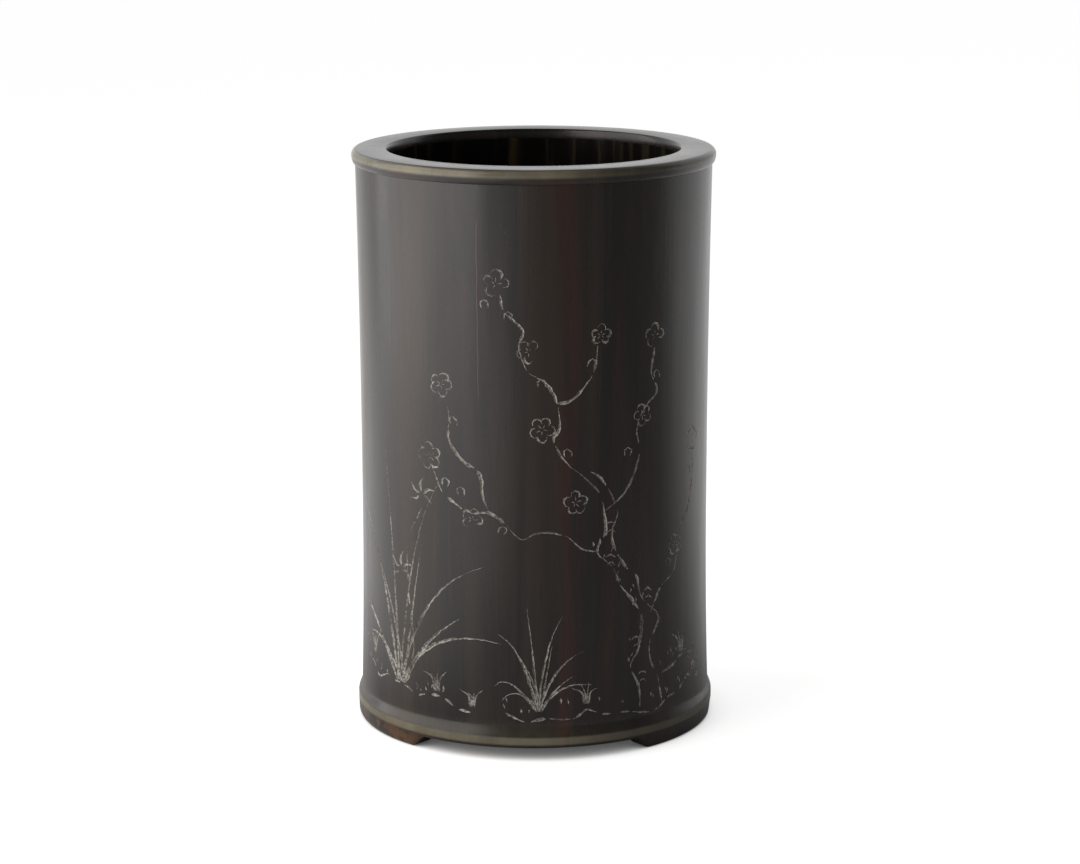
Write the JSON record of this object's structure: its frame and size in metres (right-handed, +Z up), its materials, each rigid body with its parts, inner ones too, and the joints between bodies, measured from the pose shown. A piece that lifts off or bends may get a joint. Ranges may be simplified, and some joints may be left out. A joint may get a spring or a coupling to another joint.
{
  "type": "brush pot",
  "caption": "Round turned hardwood brush pot with a thick wall, rolled lip, faint waist, low cut feet and a base board let in from below.",
  "frame": {"origin": "on the pot's axis, on the plane that the feet stand on", "axes": "+Z up along the turning axis, -Y towards the carved front"},
  "size_m": [0.0999, 0.1, 0.16],
  "materials": {
    "dark_hardwood": "hand-polished dark hardwood, worn at the lip and feet",
    "base_wood": "plain planed hardwood",
    "plug_wood": "plain hardwood end grain"
  },
  "bodies": {
    "root": {"pot_wall": "dark_hardwood", "base_board": "base_wood", "base_plug": "plug_wood"}
  },
  "joints": []
}
